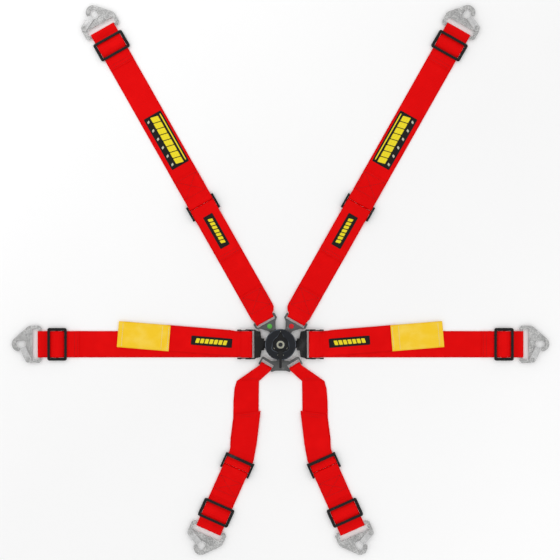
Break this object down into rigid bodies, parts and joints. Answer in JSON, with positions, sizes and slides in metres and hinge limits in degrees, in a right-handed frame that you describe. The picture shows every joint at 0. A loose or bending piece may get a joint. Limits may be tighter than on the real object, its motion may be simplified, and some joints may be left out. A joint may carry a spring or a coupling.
{
  "type": "racing harness",
  "caption": "Racing harness of red webbing with a round turn-to-release buckle, strap adjusters, slides and snap hooks, laid out flat.",
  "frame": {"origin": "on the buckle's turning axis at the flat underside of its back plate", "axes": "+Z out of the front of the buckle, +Y from the buckle towards the ends of the shoulder belts, +X towards the right lap belt"},
  "size_m": [1.0196, 1.0427, 0.0249],
  "materials": {
    "red_webbing": "matt woven polyester webbing",
    "yellow_webbing": "matt woven webbing",
    "label_fabric": "black woven label with yellow blocks",
    "black_steel": "satin black coating",
    "black_housing": "satin black",
    "black_lever": "satin black",
    "grey_cap": "satin dark grey",
    "dark_steel": "dark phosphated steel",
    "zinc_steel": "dull zinc plating with a speckled grain",
    "gate_steel": "bright zinc plating",
    "spring_steel": "plain",
    "green_marker": "gloss",
    "red_marker": "gloss"
  },
  "bodies": {
    "buckle": {"buckle_back_plate": "black_steel", "buckle_housing": "black_housing", "housing_screws": "zinc_steel", "pivot_bolt": "zinc_steel", "return_spring": "spring_steel", "crotch_tongue": "dark_steel"},
    "knob": {"latch_disc": "dark_steel", "turn_knob": "black_housing", "turn_lever": "black_lever", "knob_cap": "grey_cap"},
    "shoulder_tongue_left": {"shoulder_tongue_left": "dark_steel", "shoulder_marker_left": "green_marker"},
    "shoulder_belt_lower_left": {"shoulder_strap_lower_left": "red_webbing", "shoulder_label_left": "label_fabric", "shoulder_adjuster_left": "black_steel"},
    "shoulder_belt_upper_left": {"shoulder_strap_upper_left": "red_webbing", "shoulder_patch_left": "label_fabric", "shoulder_slide_left": "black_steel"},
    "shoulder_hook_left": {"shoulder_hook_left": "zinc_steel"},
    "shoulder_gate_left": {"shoulder_gate_left": "gate_steel"},
    "lap_tongue_left": {"lap_tongue_left": "black_steel"},
    "lap_belt_left": {"lap_strap_left": "red_webbing", "lap_label_left": "label_fabric", "lap_pull_tab_left": "yellow_webbing", "lap_slide_left": "black_steel"},
    "lap_hook_left": {"lap_hook_left": "zinc_steel"},
    "lap_gate_left": {"lap_gate_left": "gate_steel"},
    "leg_belt_upper_left": {"leg_strap_upper_left": "red_webbing", "leg_adjuster_left": "black_steel"},
    "leg_belt_lower_left": {"leg_strap_lower_left": "red_webbing", "leg_slide_left": "black_steel"},
    "leg_hook_left": {"leg_hook_left": "zinc_steel"},
    "leg_gate_left": {"leg_gate_left": "gate_steel"},
    "shoulder_tongue_right": {"shoulder_tongue_right": "dark_steel", "shoulder_marker_right": "red_marker"},
    "shoulder_belt_lower_right": {"shoulder_strap_lower_right": "red_webbing", "shoulder_label_right": "label_fabric", "shoulder_adjuster_right": "black_steel"},
    "shoulder_belt_upper_right": {"shoulder_strap_upper_right": "red_webbing", "shoulder_patch_right": "label_fabric", "shoulder_slide_right": "black_steel"},
    "shoulder_hook_right": {"shoulder_hook_right": "zinc_steel"},
    "shoulder_gate_right": {"shoulder_gate_right": "gate_steel"},
    "lap_tongue_right": {"lap_tongue_right": "black_steel"},
    "lap_belt_right": {"lap_strap_right": "red_webbing", "lap_label_right": "label_fabric", "lap_pull_tab_right": "yellow_webbing", "lap_slide_right": "black_steel"},
    "lap_hook_right": {"lap_hook_right": "zinc_steel"},
    "lap_gate_right": {"lap_gate_right": "gate_steel"},
    "leg_belt_upper_right": {"leg_strap_upper_right": "red_webbing", "leg_adjuster_right": "black_steel"},
    "leg_belt_lower_right": {"leg_strap_lower_right": "red_webbing", "leg_slide_right": "black_steel"},
    "leg_hook_right": {"leg_hook_right": "zinc_steel"},
    "leg_gate_right": {"leg_gate_right": "gate_steel"}
  },
  "joints": [
    {"name": "knob_turn", "type": "hinge", "parent": "buckle", "child": "knob", "pos_m": [0, 0, 0.01], "axis": [0, 0, 1], "range_deg": [-45, 45], "stiffness_Nm_per_rad": 0.4},
    {"name": "shoulder_tongue_slide_left", "type": "slide", "parent": "buckle", "child": "shoulder_tongue_left", "axis": [-0.4924, 0.8704, 0], "range_m": [0, 0.02]},
    {"name": "lap_tongue_slide_left", "type": "slide", "parent": "buckle", "child": "lap_tongue_left", "axis": [-1, 0, 0], "range_m": [0, 0.02]},
    {"name": "shoulder_swing_left", "type": "hinge", "parent": "shoulder_tongue_left", "child": "shoulder_belt_lower_left", "pos_m": [-0.03062, 0.04702, 0.0055], "axis": [0.8704, 0.4924, 0], "range_deg": [-80, 80]},
    {"name": "shoulder_fold_left", "type": "hinge", "parent": "shoulder_belt_lower_left", "child": "shoulder_belt_upper_left", "pos_m": [-0.1529, 0.27025, 0.004], "axis": [-0.8704, -0.4924, 0], "range_deg": [-80, 80]},
    {"name": "lap_swing_left", "type": "hinge", "parent": "lap_tongue_left", "child": "lap_belt_left", "pos_m": [-0.0574, 0, 0.0055], "axis": [0, 1, 0], "range_deg": [-80, 80]},
    {"name": "leg_swing_left", "type": "hinge", "parent": "buckle", "child": "leg_belt_upper_left", "pos_m": [-0.028, -0.042, 0.0055], "axis": [-0.8572, 0.515, 0], "range_deg": [-50, 50]},
    {"name": "leg_fold_left", "type": "hinge", "parent": "leg_belt_upper_left", "child": "leg_belt_lower_left", "pos_m": [-0.08697, -0.24059, 0.004], "axis": [0.9135, -0.4067, 0], "range_deg": [-80, 80]},
    {"name": "shoulder_hook_swing_left", "type": "hinge", "parent": "shoulder_belt_upper_left", "child": "shoulder_hook_left", "pos_m": [-0.33682, 0.59532, 0.004], "axis": [0.8704, 0.4924, 0], "range_deg": [-90, 90]},
    {"name": "shoulder_gate_left", "type": "hinge", "parent": "shoulder_hook_left", "child": "shoulder_gate_left", "pos_m": [-0.3724, 0.59932, 0.007], "axis": [0, 0, -1], "range_deg": [0, 30], "stiffness_Nm_per_rad": 0.03, "springref_deg": -14.32},
    {"name": "lap_hook_swing_left", "type": "hinge", "parent": "lap_belt_left", "child": "lap_hook_left", "pos_m": [-0.457, 0, 0.004], "axis": [0, 1, 0], "range_deg": [-90, 90]},
    {"name": "lap_gate_left", "type": "hinge", "parent": "lap_hook_left", "child": "lap_gate_left", "pos_m": [-0.478, -0.029, 0.007], "axis": [0, 0, -1], "range_deg": [0, 30], "stiffness_Nm_per_rad": 0.03, "springref_deg": -14.32},
    {"name": "leg_hook_swing_left", "type": "hinge", "parent": "leg_belt_lower_left", "child": "leg_hook_left", "pos_m": [-0.13558, -0.34976, 0.004], "axis": [-0.9135, 0.4067, 0], "range_deg": [-90, 90]},
    {"name": "leg_gate_left", "type": "hinge", "parent": "leg_hook_left", "child": "leg_gate_left", "pos_m": [-0.17061, -0.35715, 0.007], "axis": [0, 0, 1], "range_deg": [0, 30], "stiffness_Nm_per_rad": 0.03, "springref_deg": -14.32},
    {"name": "shoulder_tongue_slide_right", "type": "slide", "parent": "buckle", "child": "shoulder_tongue_right", "axis": [0.4924, 0.8704, 0], "range_m": [0, 0.02]},
    {"name": "lap_tongue_slide_right", "type": "slide", "parent": "buckle", "child": "lap_tongue_right", "axis": [1, 0, 0], "range_m": [0, 0.02]},
    {"name": "shoulder_swing_right", "type": "hinge", "parent": "shoulder_tongue_right", "child": "shoulder_belt_lower_right", "pos_m": [0.03062, 0.04702, 0.0055], "axis": [0.8704, -0.4924, 0], "range_deg": [-80, 80]},
    {"name": "shoulder_fold_right", "type": "hinge", "parent": "shoulder_belt_lower_right", "child": "shoulder_belt_upper_right", "pos_m": [0.1529, 0.27025, 0.004], "axis": [-0.8704, 0.4924, 0], "range_deg": [-80, 80]},
    {"name": "lap_swing_right", "type": "hinge", "parent": "lap_tongue_right", "child": "lap_belt_right", "pos_m": [0.0574, 0, 0.0055], "axis": [0, -1, 0], "range_deg": [-80, 80]},
    {"name": "leg_swing_right", "type": "hinge", "parent": "buckle", "child": "leg_belt_upper_right", "pos_m": [0.028, -0.042, 0.0055], "axis": [-0.8572, -0.515, 0], "range_deg": [-50, 50]},
    {"name": "leg_fold_right", "type": "hinge", "parent": "leg_belt_upper_right", "child": "leg_belt_lower_right", "pos_m": [0.08697, -0.24059, 0.004], "axis": [0.9135, 0.4067, 0], "range_deg": [-80, 80]},
    {"name": "shoulder_hook_swing_right", "type": "hinge", "parent": "shoulder_belt_upper_right", "child": "shoulder_hook_right", "pos_m": [0.33682, 0.59532, 0.004], "axis": [0.8704, -0.4924, 0], "range_deg": [-90, 90]},
    {"name": "shoulder_gate_right", "type": "hinge", "parent": "shoulder_hook_right", "child": "shoulder_gate_right", "pos_m": [0.3724, 0.59932, 0.007], "axis": [0, 0, 1], "range_deg": [0, 30], "stiffness_Nm_per_rad": 0.03, "springref_deg": -14.32},
    {"name": "lap_hook_swing_right", "type": "hinge", "parent": "lap_belt_right", "child": "lap_hook_right", "pos_m": [0.457, 0, 0.004], "axis": [0, -1, 0], "range_deg": [-90, 90]},
    {"name": "lap_gate_right", "type": "hinge", "parent": "lap_hook_right", "child": "lap_gate_right", "pos_m": [0.478, -0.029, 0.007], "axis": [0, 0, 1], "range_deg": [0, 30], "stiffness_Nm_per_rad": 0.03, "springref_deg": -14.32},
    {"name": "leg_hook_swing_right", "type": "hinge", "parent": "leg_belt_lower_right", "child": "leg_hook_right", "pos_m": [0.13558, -0.34976, 0.004], "axis": [-0.9135, -0.4067, 0], "range_deg": [-90, 90]},
    {"name": "leg_gate_right", "type": "hinge", "parent": "leg_hook_right", "child": "leg_gate_right", "pos_m": [0.17061, -0.35715, 0.007], "axis": [0, 0, -1], "range_deg": [0, 30], "stiffness_Nm_per_rad": 0.03, "springref_deg": -14.32}
  ]
}
